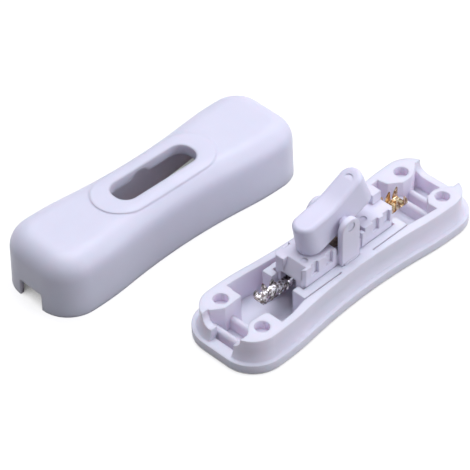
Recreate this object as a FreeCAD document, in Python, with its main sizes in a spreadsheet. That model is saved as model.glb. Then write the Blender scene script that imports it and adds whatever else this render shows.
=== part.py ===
import FreeCAD, Part
import math
import os
import Sketcher

# Inline cord switch with its cover taken off and lying beside it.
# Origin: middle of the underside of the base. X runs along the base, Y away from the
# long near side, Z up. All lengths are millimetres, all angles degrees.

doc = FreeCAD.newDocument("InlineCordSwitch")
sheet = doc.addObject("Spreadsheet::Sheet", "Sizes")

DIMENSIONS = [
    # Plan outline, shared by base and cover
    ("body_length", 84.0, "overall length"),
    ("lobe_half", 13.3, "half width at the two lobes"),
    ("waist_half", 11.4, "half width at the waist"),
    ("lobe_place", 30.7, "distance of each lobe from the middle"),
    ("lobe_radius", 82.0, "plan radius of each lobe"),
    ("corner_radius", 9.0, "plan radius of each corner"),
    # Base shell
    ("flange_height", 2.9, "height of the flange that carries the cover"),
    ("flange_edge", 0.8, "rounding of the lower edge"),
    ("cover_land", 1.15, "flat of the flange outside the wall"),
    ("flare_height", 2.7, "height of the flared foot of the wall"),
    ("rim_inset", 2.0, "outer face of the wall, in from the outline"),
    ("rim_height", 9.1, "top of the wall"),
    ("wall_thick", 2.0, "wall at the rim"),
    ("floor_thick", 1.2, "floor of the base"),
    # Pin bosses of the base
    ("pin_place", 32.7, "pin holes from the middle, along X"),
    ("pin_side", 7.0, "pin holes from the middle, along Y"),
    ("pin_radius", 1.85, "cover pin"),
    ("pin_fit", 0.1, "radial gap of a pin in its hole"),
    ("pin_depth", 2.4, "depth of a pin hole"),
    ("crush_radius", 0.28, "crush rib in a pin hole"),
    ("boss_radius", 4.3, "round front of a boss"),
    ("boss_shift", 1.2, "centre of that round, outward of the hole"),
    ("boss_root", 2.7, "how far a boss runs outward from the hole"),
    ("channel_half", 3.9, "half width of the cord channel between bosses"),
    ("fill_bend", 34.0, "where the fill beside a boss turns with the wall, along X"),
    ("fill_end", 38.1, "end of that fill, along X"),
    ("fill_side", 7.5, "end of that fill, along Y"),
    ("rear_left_x", 28.6, "corner of the rear left boss, along X"),
    ("rear_left_y", 4.1, "corner of the rear left boss, along Y"),
    ("rear_left_slope", 34.3, "where its outer side starts to slope, along X"),
    ("rear_left_foot", 6.55, "where that slope meets the end wall, along Y"),
    ("front_left_x", 28.2, "corner of the front left boss, along X"),
    ("front_left_y", 4.1, "corner of the front left boss, along Y"),
    ("front_left_slope", 33.7, "where its outer side starts to slope, along X"),
    ("front_left_bend", 37.3, "end of that slope, along X"),
    ("front_left_foot", 6.45, "where that side meets the end wall, along Y"),
    ("rear_right_back", 26.2, "inner side of the rear right boss at the wall, along X"),
    ("rear_right_bend", 26.8, "bend of that side, along X"),
    ("rear_right_turn", 6.2, "bend of that side, along Y"),
    ("rear_right_x", 30.0, "start of its front, along X"),
    ("rear_right_y", 3.75, "its front, along Y"),
    ("rear_right_slope", 33.2, "end of its front, along X"),
    ("rear_right_foot", 6.55, "where its side meets the end wall, along Y"),
    ("front_right_x", 28.3, "inner side of the front right boss, along X"),
    ("front_right_y", 6.1, "corner of that side, along Y"),
    ("front_right_start", 30.1, "start of its front, along X"),
    ("front_right_front", 4.15, "its front, along Y"),
    ("front_right_slope", 33.9, "end of its front, along X"),
    ("front_right_foot", 6.45, "where its side meets the end wall, along Y"),
    ("corner_round", 1.4, "rounding of the boss corners"),
    # Cord entry
    ("saddle_rear", 6.6, "rear side of the saddle in an end wall"),
    ("saddle_near", 6.5, "near side of that saddle"),
    ("saddle_round", 2.8, "rounding from the bottom of a saddle into its flank"),
    ("saddle_reach", 4.6, "depth of the saddles, in from the ends"),
    ("saddle_height", 5.5, "bottom of the saddle in the right end wall"),
    ("stub_height", 6.1, "end wall stubs beside the open gap at the left"),
    ("gap_rear", 3.1, "rear side of the open gap in the left end wall"),
    ("gap_near", 4.4, "near side of that gap"),
    ("gap_step", 38.8, "where the floor of that gap drops, from the middle"),
    ("grip_thick", 1.7, "cord grip rib, round on top"),
    ("grip_height", 4.7, "top of the cord grip ribs"),
    ("grip_side", 6.4, "half length of those ribs, into the bosses"),
    ("left_outer_grip", 36.95, "outer rib at the left, from the middle"),
    ("left_inner_grip", 31.9, "inner rib at the left, from the middle"),
    ("right_outer_grip", 32.95, "outer rib at the right, from the middle"),
    ("right_inner_grip", 28.95, "inner rib at the right, from the middle"),
    # Pocket of the base for the insert
    ("ledge_half", 18.6, "half length of the ledges"),
    ("ledge_bridge", 5.7, "half length of the bridge from ledge to wall"),
    ("near_ledge", 7.6, "outer side of the near ledge"),
    ("rear_ledge", 6.65, "outer side of the rear ledge"),
    ("near_wall", 7.95, "straight inner face of the near wall"),
    ("near_wall_half", 19.1, "half length of that straight face"),
    ("near_wall_west", 24.3, "where the near wall starts to thicken at the left"),
    ("near_wall_west_y", 9.05, "its inner face there"),
    ("near_wall_bend", 23.8, "bend of the near wall at the right"),
    ("near_wall_bend_y", 8.6, "its inner face there"),
    ("near_wall_root", 0.5, "root of that thickening in the wall"),
    ("shoulder_half", 3.55, "half opening between the ledge ends"),
    ("pocket_fit", 0.1, "gap of the insert in its pocket, each side"),
    ("seat_height", 1.0, "ribs on the floor that the insert goes home on"),
    ("seat_place", 10.0, "those ribs from the middle"),
    # Insert, the switch unit that drops into the pocket
    ("insert_lift", 4.9, "how far the insert stands above home"),
    ("insert_length", 32.8, "length of the insert"),
    ("insert_width", 10.3, "width of the insert"),
    ("insert_height", 7.4, "height of its two blocks"),
    ("insert_wall", 1.2, "wall of the insert"),
    ("well_west", 4.7, "left edge of the middle well"),
    ("well_east", 5.6, "right edge of the middle well"),
    ("well_depth", 2.1, "depth of the middle well"),
    ("corner_cut", 0.9, "chamfer at the corners of the blocks"),
    ("end_lean", 1.7, "lean of the left end face at the top"),
    ("end_lean_depth", 3.9, "depth of that leaning face"),
    ("end_lean_near", 4.3, "near side of that leaning face"),
    ("end_lean_rear", 1.65, "rear side of that leaning face"),
    ("cavity_west", 13.4, "left end of the hollow in the insert"),
    ("tower_length", 3.0, "tower at the right end, along X"),
    ("tower_near", 0.5, "near face of the tower"),
    ("tower_height", 2.9, "tower above the blocks"),
    ("notch_width", 2.3, "notches in the long faces"),
    ("notch_height", 3.3, "height of those notches"),
    ("notch_depth", 0.7, "depth of those notches"),
    ("left_far_notch", 12.2, "outer notch at the left, from the middle"),
    ("left_near_notch", 7.1, "inner notch at the left, from the middle"),
    ("right_near_notch", 9.6, "inner notch at the right, from the middle"),
    ("right_far_notch", 13.7, "outer notch at the right, from the middle"),
    ("dimple_radius", 0.9, "dimples on the blocks"),
    ("dimple_depth", 0.3, "depth of those dimples"),
    ("dimple_side", 2.2, "dimples from the middle, along Y"),
    ("dimple_left", 13.1, "left dimple from the middle"),
    ("dimple_right", 8.1, "right dimple from the middle"),
    ("window_half", 2.5, "half width of the terminal windows"),
    ("window_height", 3.1, "top of the windows above the underside"),
    ("floor_plate", 1.0, "thickness of the insert floor"),
    ("plate_fit", 0.1, "gap round the insert floor"),
    # Ears that carry the rocker
    ("pivot_shift", -0.95, "pivot from the middle, along X"),
    ("pivot_height", 13.0, "pivot above the underside of the insert"),
    ("ear_radius", 3.1, "half width and crown of an ear"),
    ("crown_drop", 0.9, "centre of the crown below the pivot"),
    ("ear_inner", 4.9, "inner face of an ear"),
    ("near_ear", 6.5, "outer face of the near ear"),
    ("rear_ear", 5.9, "outer face of the rear ear"),
    ("ear_foot", 0.6, "foot of an ear below the underside"),
    ("ear_fit", 0.12, "gap of an ear in its ledge slot"),
    ("bead_height", 0.5, "snap bead that holds the insert up"),
    ("bead_depth", 0.3, "how far the bead stands out"),
    ("bead_half", 2.4, "half length of the bead"),
    ("finger_place", 4.75, "spring finger right of the near ear"),
    ("finger_width", 1.1, "width of that finger"),
    ("finger_height", 4.2, "height of that finger above the ledge"),
    ("finger_depth", 0.5, "how far the finger stands out"),
    # Rocker
    ("rocker_half", 12.0, "half length of the rocker"),
    ("rocker_side", 3.65, "half width of the rocker"),
    ("rocker_under", 2.05, "underside below the pivot"),
    ("rocker_valley", 5.5, "valley of the top above the pivot"),
    ("rocker_draft", 5.0, "lean of its sides, about the level of the pivot"),
    ("rocker_slope", 8.0, "slope of each half of the top"),
    ("valley_radius", 22.0, "radius of the valley between the halves"),
    ("rocker_tilt", 16.5, "tilt to either side of level"),
    ("rocker_round", 1.1, "rounding of the top edge"),
    ("mark_radius", 1.2, "round mark on the right half"),
    ("mark_depth", 0.03, "depth of that mark"),
    ("mark_place", 7.8, "that mark from the pivot"),
    ("axle_radius", 1.2, "moulded axle"),
    ("axle_fit", 0.05, "radial gap of the axle"),
    ("axle_end", 0.2, "axle end inside the outer face of the ear"),
    ("hub_radius", 1.6, "shoulder round the axle"),
    ("hub_fit", 0.25, "gap from shoulder to ear"),
    ("sleeve_radius", 2.2, "sleeve that guides the plunger"),
    ("sleeve_drop", 5.2, "sleeve below the pivot"),
    ("bore_top", 2.6, "end of the plunger bore above the pivot"),
    # Plunger and spring
    ("plunger_radius", 1.25, "plunger"),
    ("plunger_fit", 0.05, "radial gap of the plunger"),
    ("plunger_drop", 8.9, "tip of the plunger below the pivot"),
    ("plunger_head", 1.5, "top of the plunger below the pivot"),
    ("tip_radius", 0.8, "rounded tip"),
    ("spring_wire", 0.16, "wire radius of the spring"),
    ("spring_radius", 0.95, "mean radius of the spring"),
    ("spring_pitch", 0.8, "pitch of the spring"),
    ("spring_fit", 0.05, "gap at each end of the spring"),
    # Contacts
    ("strip_thick", 0.5, "rocking contact strip"),
    ("strip_half", 1.6, "half width of the strip"),
    ("strip_fit", 0.1, "gap under the plunger tip"),
    ("strip_dish", 17.5, "half angle of the dished middle"),
    ("strip_west", 6.0, "left arm of the strip"),
    ("strip_east", 9.6, "right arm of the strip"),
    ("strip_tilt", 5.0, "tilt of the strip to either side"),
    ("fulcrum_fit", 0.05, "gap of the strip on its fulcrum"),
    ("contact_arm", 8.2, "contacts from the fulcrum"),
    ("contact_radius", 1.2, "contact heads"),
    ("contact_margin", 0.6, "strip that shows beside a contact head"),
    ("contact_height", 0.9, "height of the moving contact head"),
    ("contact_gap", 0.1, "gap left between the contacts"),
    ("shank_radius", 0.6, "shank of each contact"),
    ("shank_fit", 0.04, "radial gap of a shank"),
    ("shank_head", 0.25, "height of the upset head of a shank"),
    # Terminals
    ("terminal_thick", 0.5, "terminal strip"),
    ("terminal_half", 1.8, "half width of a terminal inside"),
    ("barrel_half", 1.5, "half width of a crimp barrel"),
    ("left_barrel", 19.7, "start of the left barrel, from the middle"),
    ("right_barrel", 18.0, "start of the right barrel, from the middle"),
    ("claw_thick", 0.45, "claws of the barrel"),
    ("claw_width", 1.7, "width of a claw at its root"),
    ("left_claw", 2.7, "tips of the left claws above the strip"),
    ("right_claw", 3.5, "tips of the right claws above the strip"),
    ("claw_neck", 0.45, "share of a claw below its point"),
    ("claw_pitch", 2.8, "distance from claw to claw"),
    ("fulcrum_thick", 0.8, "thickness of the fulcrum tab"),
    # Cover
    ("cover_height", 16.6, "height of the cover"),
    ("cover_draft", 0.45, "lean of its walls"),
    ("cover_round", 6.0, "rounding of the top edge"),
    ("cover_wall", 1.05, "wall at the rim"),
    ("cover_wall_top", 1.9, "wall near the top"),
    ("cover_top", 1.8, "thickness of the top"),
    ("slot_half", 13.2, "half length of the rocker slot"),
    ("slot_side", 4.05, "half width of the rocker slot"),
    ("slot_round", 3.6, "corner radius of the rocker slot"),
    ("slot_shift", 0.05, "slot from the middle, along Y"),
    ("raised_half", 19.0, "half length of the raised oval"),
    ("raised_side", 7.8, "half width of the raised oval"),
    ("raised_height", 0.25, "height of the raised oval"),
    ("collar_drop", 1.1, "collar round the slot, below the top"),
    ("collar_wall", 1.2, "wall of that collar"),
    ("arch_fit", 0.2, "room beside an ear in the cover"),
    ("arch_rise", 0.9, "room over an ear in the cover"),
    ("arch_depth", 0.5, "room beyond an ear in the cover"),
    ("entry_half", 4.1, "half width of the cord notches"),
    ("entry_height", 4.9, "height of the cord notches"),
    ("entry_round", 0.7, "corner radius of the cord notches"),
    ("cord_bar", 1.2, "thickness of the cord bars"),
    ("cord_room", 2.2, "room for the cord between bar and ribs"),
    ("pin_tip", 4.1, "pin tips above the rim of the cover"),
    ("cover_x", -17.3, "where the cover lies, along X"),
    ("cover_y", 46.15, "where the cover lies, along Y"),
    ("cover_turn", -1.2, "how far the cover is turned"),
]


class Size:
    """A length or angle: its number, and the sheet expression that gives it."""

    def __init__(self, text, value):
        self.text = text
        self.value = value

    @staticmethod
    def of(other):
        return other if isinstance(other, Size) else Size(repr(float(other)), float(other))

    def __add__(self, other):
        other = Size.of(other)
        return Size(f"({self.text} + {other.text})", self.value + other.value)

    def __sub__(self, other):
        other = Size.of(other)
        return Size(f"({self.text} - {other.text})", self.value - other.value)

    def __mul__(self, other):
        other = Size.of(other)
        return Size(f"({self.text} * {other.text})", self.value * other.value)

    def __truediv__(self, other):
        other = Size.of(other)
        return Size(f"({self.text} / {other.text})", self.value / other.value)

    def __neg__(self):
        return Size(f"(0 - {self.text})", -self.value)


def sine(angle):
    return Size(f"sin({angle.text})", math.sin(math.radians(angle.value)))


def cosine(angle):
    return Size(f"cos({angle.text})", math.cos(math.radians(angle.value)))


def tangent(angle):
    return Size(f"tan({angle.text})", math.tan(math.radians(angle.value)))


def lean(inward, rise):
    """The angle of a wall that leans inward over a rise."""
    return Size(f"atan({inward.text} / {rise.text})",
                math.degrees(math.atan(inward.value / rise.value)))


ZERO = Size.of(0)
NOTHING = 0.0


def fill_sheet():
    for row, (alias, value, note) in enumerate(DIMENSIONS, start=1):
        sheet.set(f"A{row}", alias)
        sheet.set(f"B{row}", str(value))
        sheet.set(f"C{row}", note)
        sheet.setAlias(f"B{row}", alias)
    doc.recompute()


class Names:
    """The sizes by name."""


fill_sheet()
d = Names()
for size_name, size_value, _ in DIMENSIONS:
    setattr(d, size_name, Size(f"Sizes.{size_name}", size_value))


# Sketch helpers

def bind(thing, path, size):
    thing.setExpression(path, size.text)


def new_body(label):
    body = doc.addObject("PartDesign::Body", label)
    body.Label = label
    return body


def origin_plane(body, role):
    return next(item for item in body.Origin.OriginFeatures if item.Role == role)


def new_sketch(body, name, role="XY_Plane", offset=None):
    """A sketch on one of the body's own planes, moved along its normal by offset."""
    sketch = body.newObject("Sketcher::SketchObject", name)
    sketch.AttachmentSupport = [(origin_plane(body, role), "")]
    sketch.MapMode = "FlatFace"
    if offset is not None:
        bind(sketch, "AttachmentOffset.Base.z", offset)
    return sketch


def hold(sketch, kind, geometry, point, size):
    """A driving dimension on one point of the sketch, bound to the sheet."""
    index = sketch.addConstraint(Sketcher.Constraint(kind, geometry, point, size.value))
    bind(sketch, f"Constraints[{index}]", size)


def hold_radius(sketch, geometry, size):
    index = sketch.addConstraint(Sketcher.Constraint("Radius", geometry, size.value))
    bind(sketch, f"Constraints[{index}]", size)


def vector(x, y, z=NOTHING):
    return FreeCAD.Vector(x, y, z)


UP = vector(NOTHING, NOTHING, 1.0)
START, END, CENTRE = 1, 2, 3


def polygon(sketch, points):
    """A closed outline through points, each a pair of sizes."""
    first = sketch.GeometryCount
    count = len(points)
    corners = [vector(x.value, y.value) for x, y in points]
    for index in range(count):
        sketch.addGeometry(Part.LineSegment(corners[index], corners[(index + 1) % count]), False)
    for index in range(count):
        line, following = first + index, first + (index + 1) % count
        sketch.addConstraint(Sketcher.Constraint("Coincident", line, END, following, START))
    for index, (x, y) in enumerate(points):
        hold(sketch, "DistanceX", first + index, START, x)
        hold(sketch, "DistanceY", first + index, START, y)


def rectangle(sketch, west, east, south, north):
    polygon(sketch, [(west, south), (east, south), (east, north), (west, north)])


def circle(sketch, x, y, radius):
    shape = Part.Circle(vector(x.value, y.value), UP, radius.value)
    index = sketch.addGeometry(shape, False)
    hold(sketch, "DistanceX", index, CENTRE, x)
    hold(sketch, "DistanceY", index, CENTRE, y)
    hold_radius(sketch, index, radius)


def arc(sketch, centre, radius, start, end):
    """A counterclockwise arc from angle start to angle end, in radians."""
    whole = Part.Circle(vector(*centre), UP, radius)
    return sketch.addGeometry(Part.ArcOfCircle(whole, start, end), False)


def join(sketch, *ends):
    """Tangent joints: each is geometry, point, geometry, point."""
    for first, first_point, second, second_point in ends:
        rule = Sketcher.Constraint("Tangent", first, first_point, second, second_point)
        sketch.addConstraint(rule)


def close_arc(sketch, part, points, kinds, rule="Tangent"):
    """Closes an arc with lines from its end through points to its start.

    The kinds are Horizontal or Vertical, or None for a free line. The rule joins the
    first and last line to the arc.
    """
    chain = [sketch.getPoint(part, END), *points, sketch.getPoint(part, START)]
    lines = [sketch.addGeometry(Part.LineSegment(one, two), False)
             for one, two in zip(chain, chain[1:])]
    sketch.addConstraint(Sketcher.Constraint(rule, part, END, lines[0], START))
    for one, two in zip(lines, lines[1:]):
        sketch.addConstraint(Sketcher.Constraint("Coincident", one, END, two, START))
    sketch.addConstraint(Sketcher.Constraint(rule, lines[-1], END, part, START))
    for kind, line in zip(kinds, lines):
        if kind:
            sketch.addConstraint(Sketcher.Constraint(kind, line))
    return lines


def hold_centre(sketch, part, x, y):
    hold(sketch, "DistanceX", part, CENTRE, x)
    hold(sketch, "DistanceY", part, CENTRE, y)


def rounded_slot(sketch, x, y, half_length, half_width, radius):
    """A slot along X whose four corners have the given radius."""
    cx, cy = (half_length - radius).value, (half_width - radius).value
    quarter = math.pi / 2
    arcs = []
    for turn, (sx, sy) in enumerate(((1, 1), (-1, 1), (-1, -1), (1, -1))):
        centre = (x.value + sx * cx, y.value + sy * cy)
        arcs.append(arc(sketch, centre, radius.value, turn * quarter, (turn + 1) * quarter))
    lines = []
    for index in range(4):
        here, there = arcs[index], arcs[(index + 1) % 4]
        begin = sketch.getPoint(here, END)
        finish = sketch.getPoint(there, START)
        lines.append(sketch.addGeometry(Part.LineSegment(begin, finish), False))
        join(sketch, (here, END, lines[-1], START), (lines[-1], END, there, START))
    for kind, line in zip(("Horizontal", "Vertical", "Horizontal", "Vertical"), lines):
        sketch.addConstraint(Sketcher.Constraint(kind, line))
    for index in arcs:
        hold_radius(sketch, index, radius)
    hold(sketch, "DistanceY", lines[0], START, y + half_width)
    hold(sketch, "DistanceX", lines[1], START, x - half_length)
    hold(sketch, "DistanceY", lines[2], START, y - half_width)
    hold(sketch, "DistanceX", lines[3], START, x + half_length)


def stadium(sketch, half_length, half_width):
    """A slot with full round ends, centred on the origin."""
    cx, radius = (half_length - half_width), half_width
    quarter = math.pi / 2
    right = arc(sketch, (cx.value, NOTHING), radius.value, -quarter, quarter)
    left = arc(sketch, (-cx.value, NOTHING), radius.value, quarter, 3 * quarter)
    for here, there in ((right, left), (left, right)):
        begin, finish = sketch.getPoint(here, END), sketch.getPoint(there, START)
        line = sketch.addGeometry(Part.LineSegment(begin, finish), False)
        join(sketch, (here, END, line, START), (line, END, there, START))
    for end, x in ((right, cx), (left, -cx)):
        hold(sketch, "DistanceX", end, CENTRE, x)
        hold(sketch, "DistanceY", end, CENTRE, ZERO)
    hold_radius(sketch, right, radius)


def outline(sketch, inset):
    """The waisted plan outline, moved inward by inset.

    Each side is a hollow waist arc between two lobe arcs, the corners are arcs and the
    ends are straight, all tangent to one another.
    """
    fall = d.lobe_half - d.waist_half
    waist_radius = (d.lobe_place * d.lobe_place + fall * fall) / (fall * 2) - d.lobe_radius
    waist_centre = d.waist_half + waist_radius
    lobe_centre = d.lobe_half - d.lobe_radius
    end = d.body_length / 2 - inset
    waist = waist_radius + inset
    corner = d.corner_radius - inset
    lobe = (d.lobe_radius - inset).value

    reach = (d.body_length / 2 - d.corner_radius - d.lobe_place).value
    span = (d.lobe_radius - d.corner_radius).value
    corner_y = lobe_centre.value + math.sqrt(span * span - reach * reach)
    corner_x = (d.body_length / 2 - d.corner_radius).value
    lobe_x = d.lobe_place.value
    low = math.atan2(corner_y - lobe_centre.value, reach)
    turn = math.atan2(lobe_x, waist_centre.value - lobe_centre.value)
    high = math.pi / 2 + turn
    half_turn, full_turn = math.pi, 2 * math.pi

    top, bottom = waist_centre.value, -waist_centre.value
    waist_top = arc(sketch, (0, top), waist.value, 1.5 * math.pi - turn, 1.5 * math.pi + turn)
    waist_bottom = arc(sketch, (0, bottom), waist.value, half_turn / 2 - turn, half_turn / 2 + turn)
    lobes, corners = [], []
    spans = ((low, high), (half_turn - high, half_turn - low),
             (half_turn + low, half_turn + high), (full_turn - high, full_turn - low))
    ends = ((0, low), (half_turn - low, half_turn),
            (half_turn, half_turn + low), (full_turn - low, full_turn))
    signs = ((1, 1), (-1, 1), (-1, -1), (1, -1))
    for (sx, sy), lobe_span, corner_span in zip(signs, spans, ends):
        lobes.append(arc(sketch, (sx * lobe_x, sy * lobe_centre.value), lobe, *lobe_span))
        corners.append(arc(sketch, (sx * corner_x, sy * corner_y), corner.value, *corner_span))
    x = end.value
    right = sketch.addGeometry(Part.LineSegment(vector(x, -corner_y), vector(x, corner_y)), False)
    left = sketch.addGeometry(Part.LineSegment(vector(-x, corner_y), vector(-x, -corner_y)), False)

    join(sketch,
         (right, END, corners[0], START), (corners[0], END, lobes[0], START),
         (lobes[0], END, waist_top, END), (waist_top, START, lobes[1], START),
         (lobes[1], END, corners[1], START), (corners[1], END, left, START),
         (left, END, corners[2], START), (corners[2], END, lobes[2], START),
         (lobes[2], END, waist_bottom, END), (waist_bottom, START, lobes[3], START),
         (lobes[3], END, corners[3], START), (corners[3], END, right, START))
    for index, place in ((waist_top, waist_centre), (waist_bottom, -waist_centre)):
        hold(sketch, "DistanceX", index, CENTRE, ZERO)
        hold(sketch, "DistanceY", index, CENTRE, place)
        hold_radius(sketch, index, waist)
    for index, (sx, sy) in zip(lobes, signs):
        hold(sketch, "DistanceX", index, CENTRE, d.lobe_place * sx)
        hold(sketch, "DistanceY", index, CENTRE, lobe_centre * sy)
    for index in corners:
        hold_radius(sketch, index, corner)
    for line, place in ((right, end), (left, -end)):
        sketch.addConstraint(Sketcher.Constraint("Vertical", line))
        hold(sketch, "DistanceX", line, START, place)


# Feature helpers

def feature(body, kind, name, sketch, length, **options):
    """A pad or pocket of a sketch, its length bound to the sheet."""
    item = body.newObject(f"PartDesign::{kind}", name)
    item.Profile = sketch
    item.Type = "Length"
    bind(item, "Length", length)
    for option, value in options.items():
        setattr(item, option, value)
    sketch.Visibility = False
    return item


def pad(body, name, sketch, length, **options):
    return feature(body, "Pad", name, sketch, length, **options)


def pocket(body, name, sketch, length, **options):
    """Cuts against the sketch's normal, or along it where Reversed is set."""
    return feature(body, "Pocket", name, sketch, length, **options)


def loft(body, kind, name, sketches, ruled):
    item = body.newObject(f"PartDesign::{kind}", name)
    item.Profile = sketches[0]
    item.Sections = sketches[1:]
    item.Ruled = ruled
    return item


def edges_where(item, test):
    """Names of the edges of a feature whose middle passes the test."""
    names = []
    for index, edge in enumerate(item.Shape.Edges, start=1):
        middle = edge.valueAt((edge.FirstParameter + edge.LastParameter) / 2)
        if test(edge, middle):
            names.append(f"Edge{index}")
    return names


def dress(body, kind, name, item, names, size):
    """A fillet or chamfer of the named edges."""
    path = {"Fillet": "Radius", "Chamfer": "Size"}[kind]
    dressing = body.newObject(f"PartDesign::{kind}", name)
    dressing.Base = (item, names)
    bind(dressing, path, size)
    return dressing


TOUCH = 0.02


def draft(body, name, item, angle):
    """Leans the upright faces of a feature inward, hinged on the body's base plane."""
    faces = []
    for index, face in enumerate(item.Shape.Faces, start=1):
        normal = face.normalAt(*[sum(pair) / 2 for pair in
                                 (face.ParameterRange[:2], face.ParameterRange[2:])])
        if abs(normal.z) < TOUCH:
            faces.append(f"Face{index}")
    leaning = body.newObject("PartDesign::Draft", name)
    leaning.Base = (item, faces)
    leaning.NeutralPlane = (origin_plane(body, "XY_Plane"), [""])
    bind(leaning, "Angle", angle)
    return leaning


def level(height):
    """A test for edges that lie all at one height."""
    def test(edge, middle):
        box = edge.BoundBox
        return abs(box.ZMin - height.value) < TOUCH and abs(box.ZMax - height.value) < TOUCH
    return test


# Levels and places that pieces share

half_length = d.body_length / 2
insert_home = d.floor_thick + d.seat_height
insert_under = insert_home + d.insert_lift
insert_top = insert_under + d.insert_height
insert_half = d.insert_length / 2
insert_side = d.insert_width / 2
pocket_side = insert_side + d.pocket_fit
pivot_z = insert_under + d.pivot_height
well_floor = insert_top - d.well_depth
cavity_side = insert_side - d.insert_wall
cavity_east = insert_half - d.insert_wall
crown_z = pivot_z - d.crown_drop
plate_top = insert_under + d.floor_plate
window_top = insert_under + d.window_height
strip_top = pivot_z - d.plunger_drop - d.strip_fit
strip_under = strip_top - d.strip_thick
dish_radius = d.plunger_drop + d.strip_fit
wing_top = pivot_z - dish_radius * cosine(d.strip_dish)
wing_under = wing_top - d.strip_thick
fulcrum_top = strip_under - d.fulcrum_fit
contact_x = d.pivot_shift + d.contact_arm
upset_radius = (d.shank_radius + d.contact_radius) / 2
closed_top = d.flange_height + d.cover_height


# A cut is made this many times deeper than the part that it passes through

THROUGH = 3

# Sections of the flared wall: name, share of the flare's height, share of its run inwards

FLARE_SECTIONS = (("foot", 0.0, 0.0), ("flare_low", 0.25, 0.45), ("flare_high", 0.6, 0.82), ("bend", 1.0, 1.0))


def side_rectangle(sketch, side, west, east, inner, outer):
    """A rectangle between two distances from the middle, on the near or rear side."""
    if side < 0:
        rectangle(sketch, west, east, -outer, -inner)
    else:
        rectangle(sketch, west, east, inner, outer)


def ear_outer(side):
    return d.near_ear if side < 0 else d.rear_ear


def ear_slot(sketch, side):
    """The ledge slot that the ear on one side passes through."""
    reach = d.ear_radius + d.ear_fit
    side_rectangle(sketch, side, d.pivot_shift - reach, d.pivot_shift + reach,
                   d.ear_inner - d.ear_fit, ear_outer(side) + d.ear_fit)


# Base

def boss_block(body, name, sx, sy):
    """The round front of one pin boss, run outward into the wall."""
    sketch = new_sketch(body, f"{name}_plan", offset=d.floor_thick / 2)
    x = d.pin_place * sx
    y = (d.pin_side + d.boss_shift) * sy
    back = (d.pin_side + d.boss_root) * sy
    first = math.pi if sy > 0 else NOTHING
    front = arc(sketch, (x.value, y.value), d.boss_radius.value, first, first + math.pi)
    corners = [vector(sketch.getPoint(front, point).x, back.value) for point in (END, START)]
    lines = close_arc(sketch, front, corners, ("Vertical", "Horizontal", "Vertical"))
    hold_centre(sketch, front, x, y)
    hold_radius(sketch, front, d.boss_radius)
    hold(sketch, "DistanceY", lines[1], START, back)
    return pad(body, name, sketch, d.rim_height - d.floor_thick / 2)


def boss_fill(body, name, sx, sy, side):
    """Fills a boss out to its corner and to the end wall.

    The side runs from the long wall round the front of the boss to the end wall, in
    distances from the middle.
    """
    sketch = new_sketch(body, f"{name}_fill_plan", offset=d.floor_thick / 2)
    back = d.pin_side + d.boss_root
    points = [(side[0][0], back), *side, (d.fill_end, d.fill_side), (d.fill_bend, back)]
    polygon(sketch, [(x * sx, y * sy) for x, y in points])
    return pad(body, f"{name}_fill", sketch, d.rim_height - d.floor_thick / 2)


def base_shell(body):
    """Flange, flared wall and the hollow inside."""
    plan = new_sketch(body, "flange_plan")
    outline(plan, ZERO)
    flange = pad(body, "flange", plan, d.flange_height)
    doc.recompute()
    lower = edges_where(flange, level(ZERO))
    dress(body, "Fillet", "flange_round", flange, lower, d.flange_edge)

    lean = d.rim_inset - d.cover_land
    sections = []
    for name, rise, inward in FLARE_SECTIONS:
        sketch = new_sketch(body, name, offset=d.flange_height + d.flare_height * rise)
        outline(sketch, d.cover_land + lean * inward)
        sections.append(sketch)
    loft(body, "AdditiveLoft", "wall_foot", sections, ruled=False)

    bend = d.flange_height + d.flare_height
    upper = new_sketch(body, "wall_plan", offset=bend)
    outline(upper, d.rim_inset)
    pad(body, "wall", upper, d.rim_height - bend)
    inside = new_sketch(body, "inside_plan", offset=d.rim_height)
    outline(inside, d.rim_inset + d.wall_thick)
    pocket(body, "inside", inside, d.rim_height - d.floor_thick)


def base_grips(body):
    """Two cord grip ribs with round tops at each end."""
    low = d.floor_thick / 2
    radius = d.grip_thick / 2
    y = d.grip_height - radius
    for name, x in (("left_outer", -d.left_outer_grip), ("left_inner", -d.left_inner_grip),
                    ("right_inner", d.right_inner_grip), ("right_outer", d.right_outer_grip)):
        face = new_sketch(body, f"{name}_grip_face", "XZ_Plane")
        crown = arc(face, (x.value, y.value), radius.value, NOTHING, math.pi)
        feet = [vector((x + radius * side).value, low.value) for side in (-1, 1)]
        lines = close_arc(face, crown, feet, ("Vertical", "Horizontal", "Vertical"))
        hold_centre(face, crown, x, y)
        hold_radius(face, crown, radius)
        hold(face, "DistanceY", lines[1], START, low)
        pad(body, f"{name}_grip", face, d.grip_side * 2, Midplane=True)


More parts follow.
